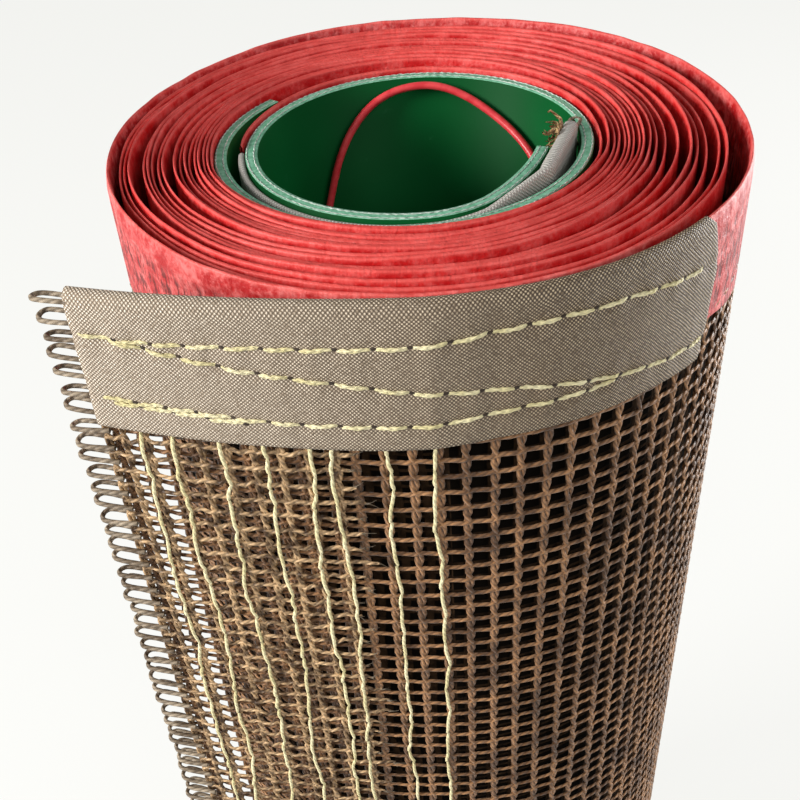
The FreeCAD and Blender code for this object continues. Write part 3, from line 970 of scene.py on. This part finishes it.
def sleeve_piece():
    body, ends = sleeve()
    whole = merged([(body[0], body[1], np.ascontiguousarray(body[2])), ends])
    obj = add_piece("core_sleeve_wall", *whole, SLEEVE, "sleeve", smooth=False)
    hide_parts("core_sleeve")
    obj.data.materials.append(CUT_EDGE_WITH_HIGHLIGHT)
    flags = np.zeros(len(obj.data.polygons), np.int32)
    across = 5
    wall_faces = (SLEEVE_STEPS - 1) * across
    column = np.arange(wall_faces) % across
    flags[:wall_faces] = (column >= 1) & (column <= 3)
    flags[wall_faces:] = 1
    obj.data.polygons.foreach_set("material_index", flags)
    smooth = np.zeros(len(flags), bool)
    smooth[:wall_faces] = True
    obj.data.polygons.foreach_set("use_smooth", smooth)


sleeve_piece()


def ply_threads():
    """The two fabric plies of the belting, frayed along its cut edge."""
    own = np.random.default_rng(61)
    parts = []
    for off, size in ((1.0, 0.14), (-0.55, 0.15)):
        count = int(sleeve_line.length / 0.55)
        s = np.linspace(0.3, sleeve_line.length - 0.3, count)
        bead = 0.12 * np.sin(TAU * s / PLY_PITCH) + 0.08 * own.normal(0, 1, count)
        z = SLEEVE_TOP + 0.02 + 0.10 * np.abs(bead) * 2
        taper = 1 + 0.35 * np.sin(TAU * s / PLY_PITCH + 1.0)
        centres = sleeve_line.at(s, off + 0.5 * bead, z)[None]
        parts.append(tubes(centres, UP, size, size * 0.9, 5, taper[None]))
    return merged(parts)


add_piece("sleeve_ply_threads", *ply_threads(), WHITE_THREAD, "sleeve")


# ---- inner end, tucked in the nip ----


def inner_patch(upper):
    s = np.linspace(0.5, tail_line.length, 130)
    end = tail_line.length
    half_at = np.interp(s, [0, end - 25, end - 21, end], [0.68, 0.72, 1.3, 1.4])
    sink = np.interp(s, [0, 6, 12, 74, 92], [3.3, 3.3, 3.9, 3.2, 0.6])
    down = np.linspace(PATCH_HEIGHT, 1.6, 14)
    turned = np.radians(np.linspace(90, -90, 7))
    depth = np.concatenate([down, 1.0 - 0.9 * np.cos(turned), down[::-1]])
    side = np.concatenate([np.ones(14), np.sin(turned), -np.ones(14)])
    wave = 0.35 * smooth_noise(len(s), 24, 71)
    low = depth[None] + (wave[:, None] + 0.3 + sink[:, None]) * (depth < 20)[None]
    points = tail_line.at(s[:, None], half_at[:, None] * side[None], WIDTH - low if upper else low)
    if upper:
        points = points[:, ::-1]
    return grid(points, s[:, None] * MM, np.broadcast_to(depth[None] * MM, low.shape))


def tail_mesh():
    """The inner end's own mesh, seen past the patch deep in the bore."""
    stations = np.arange(tail_line.length - 42.0, tail_line.length - 1, COLUMN)
    low, high = PATCH_HEIGHT - 1, WIDTH - PATCH_HEIGHT + 1
    rows = np.arange(low + 1, high, ROW)
    ends = np.full(len(rows), tail_line.length)
    return merged([
        strand_set(tail_line, stations, low, high, 0.0, 72, per_row=2),
        pick_set(tail_line, stations[0] - 1.0, ends, rows, 0.0, 73, per_column=2),
    ])


def tail_loops():
    own = np.random.default_rng(74)
    nose = np.radians(np.linspace(90, -90, 8))
    radius = TAIL_LOOP_RADIUS
    out = np.array([-1.0, 2.0, 4.2])
    leg = np.array([1.0, 1.1, 1.15])
    parts = []
    for z in np.arange(2.6, WIDTH - 1.0, ROW):
        reach = own.uniform(6.2, 7.4)
        s = tail_line.length + np.concatenate([out, reach - radius + radius * np.cos(nose), out[::-1]])
        off = np.concatenate([leg, radius * np.sin(nose), -leg[::-1]]) + own.uniform(-0.2, 0.2)
        height = z + own.uniform(-0.6, 0.6) * (s - tail_line.length) / 6
        parts.append(tubes(tail_line.at(s, off, height)[None], UP, 0.46, 0.42, 6))
    return merged(parts)


for upper, side in ((True, "top"), (False, "bottom")):
    patch = add_piece("inner_patch_" + side, *inner_patch(upper), INNER_PATCH, "patch_fabric")
    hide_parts("inner_patch_" + side)
    thicken(patch, FABRIC)
add_piece("inner_end_mesh", *tail_mesh(), BROWN, "mesh")
add_piece("inner_end_loops", *tail_loops(), GREY_BROWN, "mesh")


def tail_tuft():
    """Frayed ends of the mesh that stick out beside the inner end's fold, near the top."""
    own = np.random.default_rng(75)
    parts = []
    for k in range(34):
        size = 0.44 if k < 9 else 0.2
        u = np.linspace(0, 1, 8)
        reach = own.uniform(1.5, 4.5)
        s = tail_line.length - own.uniform(3.0, 8.0) + 0.5 * reach * np.sin(own.uniform(2, 5) * u)
        off = -1.6 - reach * 0.55 * u + 0.4 * np.sin(own.uniform(3, 7) * u)
        z = WIDTH - own.uniform(0.5, 4.5) + own.uniform(-0.4, 1.0) * reach * u
        z = np.minimum(z + 0.4 * np.sin(own.uniform(3, 8) * u), WIDTH + 2.5)
        centres = tail_line.at(s, off, z)[None]
        taper = np.linspace(1, 0.5, 8)
        parts.append(tubes(centres, np.array([1.0, 0, 0]), size, 0.85 * size, 5, taper))
    return merged(parts)


add_piece("inner_end_frayed_tuft", *tail_tuft(), TUFT, "mesh")


# ---- hinge pin ----

# the pin's route on the bore's wall: angle in degrees, depth under the belt's edge
PIN_ROUTE = [(7, 95), (10, 40), (26, 18), (55, 6), (83, 0.2)]
PIN_ROUTE += [(110, 5), (129, 22), (141, 55), (143, 150), (143, 300)]
PIN_CENTRE = -0.6  # of the arch in plan, along X
PIN_WALL = 33.7  # its radius in plan
PIN_SINK = 4.2  # of the whole route
PIN_RADIUS = 0.95


def stored_pin():
    """The round rod sprung into the bore as one smooth arch."""
    route = np.array(PIN_ROUTE, float)
    at = np.linspace(0, len(route) - 1, 160)
    angle, depth = np.radians(through(route[:, 0], at)), through(route[:, 1], at)
    x, y = PIN_CENTRE + PIN_WALL * np.cos(angle), PIN_WALL * np.sin(angle)
    centre = np.stack([x, y, WIDTH - depth - PIN_SINK], -1)
    inwards = np.stack([np.cos(angle), np.sin(angle), 0 * angle], -1)
    taper = np.where((at < 1e-6) | (at > len(route) - 1 - 1e-6), 0.5, 1.0)
    return tubes(centre[None], inwards[None], PIN_RADIUS, PIN_RADIUS, 12, taper)


add_piece("hinge_pin_rod", *stored_pin(), PIN, "pin", replaces=["hinge_pin"])


# ---- stage, lights, camera ----

FLOOR_REACH = 12  # metres

# fitted to the photo, in pixels, degrees and metres
PHOTO_SIZE = 800
FOCAL = 1062.67
CAMERA_PITCH = 38.02
CAMERA_ROLL = -3.97
CAMERA_PLACE = (-0.00868, -0.2219, 0.4970)


def floor_material():
    m = Shader("pale_floor")
    grain = m.noise(m.place(), 3.0, 2.0, 0.5)
    m.finish(m.mix(grain, (0.86, 0.86, 0.85, 1), (0.9, 0.9, 0.89, 1)), 0.7)
    path = m.node("ShaderNodeLightPath")
    seen = m.math("MAXIMUM", path.outputs["Is Camera Ray"], path.outputs["Is Glossy Ray"])
    glow = m.node("ShaderNodeEmission", Color=(0.965, 0.967, 0.935, 1), Strength=1.0)
    mix = m.node("ShaderNodeMixShader")
    m.put(mix, "i0", m.math("MULTIPLY", seen, 0.86))
    m.put(mix, "i1", m.principled.outputs[0])
    m.put(mix, "i2", glow.outputs[0])
    m.put(m.tree.nodes["Material Output"], "Surface", mix.outputs[0])
    return m.material


floor_mesh = bpy.data.meshes.new("floor")
floor_corners = [(x * FLOOR_REACH, y * FLOOR_REACH, 0) for x, y in ((-1, -1), (1, -1), (1, 1), (-1, 1))]
floor_mesh.from_pydata(floor_corners, [], [(0, 1, 2, 3)])
floor_mesh.materials.append(floor_material())
floor = bpy.data.objects.new("floor", floor_mesh)
bpy.context.scene.collection.objects.link(floor)

world = bpy.data.worlds.new("studio")
bpy.context.scene.world = world
world.use_nodes = True
world.node_tree.nodes["Background"].inputs[0].default_value = (1.0, 1.0, 1.0, 1)
path = world.node_tree.nodes.new("ShaderNodeLightPath")
seen = world.node_tree.nodes.new("ShaderNodeMapRange")
seen.inputs["To Min"].default_value = 0.33
seen.inputs["To Max"].default_value = 0.95
world.node_tree.links.new(path.outputs["Is Camera Ray"], seen.inputs["Value"])
world.node_tree.links.new(seen.outputs[0], world.node_tree.nodes["Background"].inputs[1])


def lamp(name, place, aim, size, power, colour=(1, 1, 1)):
    data = bpy.data.lights.new(name, "AREA")
    data.shape = "SQUARE"
    data.size = size
    data.energy = power
    data.color = colour
    obj = bpy.data.objects.new(name, data)
    obj.location = place
    obj.rotation_euler = (Vector(aim) - Vector(place)).to_track_quat("-Z", "Y").to_euler()
    bpy.context.scene.collection.objects.link(obj)


lamp("key", (-1.15, -0.42, 0.85), (0, 0, 0.33), 0.5, 25.0, (1.0, 0.985, 0.96))
lamp("fill", (0.75, -0.95, 1.2), (0, 0, 0.35), 0.9, 7.0)
lamp("rim", (1.15, 0.5, 0.12), (0, 0, 0.25), 0.7, 24.0)

pitch, roll = math.radians(CAMERA_PITCH), math.radians(CAMERA_ROLL)
ahead = Vector((0, math.cos(pitch), -math.sin(pitch)))
right = Vector((1, 0, 0))
above = Vector((0, math.sin(pitch), math.cos(pitch)))
right_rolled = math.cos(roll) * right + math.sin(roll) * above
above_rolled = -math.sin(roll) * right + math.cos(roll) * above
camera_data = bpy.data.cameras.new("camera")
camera_data.sensor_width = 36.0
camera_data.lens = FOCAL / PHOTO_SIZE * camera_data.sensor_width
camera_data.clip_start = 0.01
camera = bpy.data.objects.new("camera", camera_data)
turn = Matrix((right_rolled, above_rolled, -ahead)).transposed().to_4x4()
camera.matrix_world = Matrix.Translation(CAMERA_PLACE) @ turn
bpy.context.scene.collection.objects.link(camera)
bpy.context.scene.camera = camera
bpy.context.scene.view_settings.view_transform = "Standard"
